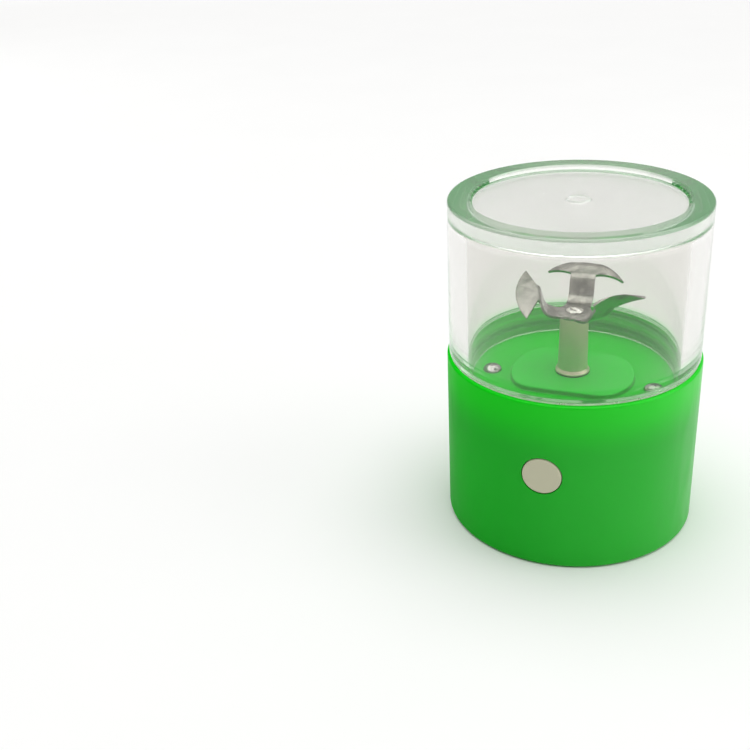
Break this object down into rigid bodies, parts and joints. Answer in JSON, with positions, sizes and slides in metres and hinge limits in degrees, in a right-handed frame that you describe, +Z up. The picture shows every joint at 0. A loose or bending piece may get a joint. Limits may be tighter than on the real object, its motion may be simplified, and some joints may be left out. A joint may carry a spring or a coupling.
{
  "type": "electric mini grinder",
  "caption": "Small rechargeable grinder: round green motor base with a side button, clear screw-on cup and a three-armed steel blade on a post.",
  "frame": {"origin": "middle of the bottom face", "axes": "+Z up along the blade's axis; -Y towards the power button; +Y towards the charging socket"},
  "size_m": [0.05, 0.05, 0.0667],
  "materials": {
    "green_plastic": "satin moulded plastic",
    "light_green_plastic": "fine matte moulded plastic",
    "clear_plastic": "clear moulded acrylic",
    "cream_silicone": "soft silicone",
    "grey_plastic": "smooth grey-beige plastic",
    "white_nylon": "moulded nylon",
    "black_plastic": "black moulded plastic",
    "black_rubber": "black rubber",
    "brushed_steel": "brushed stainless steel",
    "plated_steel": "bright nickel plate",
    "bronze": "sintered bronze",
    "copper": "bright copper",
    "ferrite": "dark sintered ferrite",
    "circuit_board": "green solder mask",
    "cell_wrap": "silver pouch foil",
    "red_wire": "soft wire cover"
  },
  "bodies": {
    "base": {"base_shell": "green_plastic", "chamber_floor": "light_green_plastic", "floor_screw_left": "plated_steel", "floor_screw_right": "plated_steel", "motor_strap": "brushed_steel", "strap_screw_front": "plated_steel", "strap_screw_back": "plated_steel", "motor_can": "brushed_steel", "motor_end_cap": "white_nylon", "motor_bush_front": "bronze", "motor_bush_rear": "bronze", "motor_magnet_left": "ferrite", "motor_magnet_right": "ferrite", "motor_brush_left": "copper", "motor_brush_right": "copper", "motor_terminal_left": "plated_steel", "motor_terminal_right": "plated_steel", "shaft_seal": "black_rubber", "switch_body": "black_plastic", "main_board": "circuit_board", "charger_chip": "black_plastic", "socket_board": "circuit_board", "charge_socket": "plated_steel", "socket_tongue": "black_plastic", "battery_cell": "cell_wrap", "battery_wire_red": "red_wire", "battery_wire_black": "black_plastic", "motor_wire_red": "red_wire", "motor_wire_black": "black_plastic", "charge_wire_red": "red_wire", "charge_wire_black": "black_plastic"},
    "rotor": {"motor_shaft": "brushed_steel", "motor_armature": "brushed_steel", "motor_commutator": "copper", "blade_post": "brushed_steel", "blade": "brushed_steel", "blade_rivet": "plated_steel"},
    "button": {"power_button": "grey_plastic", "switch_plunger": "black_plastic"},
    "seal": {"cup_seal": "cream_silicone"},
    "cup": {"cup": "clear_plastic"}
  },
  "joints": [
    {"name": "blade_spin", "type": "hinge", "parent": "base", "child": "rotor", "pos_m": [0, 0, 0.0434], "axis": [0, 0, 1], "continuous": true},
    {"name": "button_press", "type": "slide", "parent": "base", "child": "button", "axis": [0, 1, 0], "range_m": [0, 0.0005]},
    {"name": "cup_lift", "type": "slide", "parent": "base", "child": "seal", "axis": [0, 0, 1], "range_m": [0, 0.006]},
    {"name": "cup_turn", "type": "hinge", "parent": "seal", "child": "cup", "pos_m": [0, 0, 0.036], "axis": [0, 0, 1], "range_deg": [0, 720]}
  ],
  "couplings": [
    {"joint": "cup_lift", "follows": "cup_turn", "m_per_rad": 0.00047746}
  ]
}
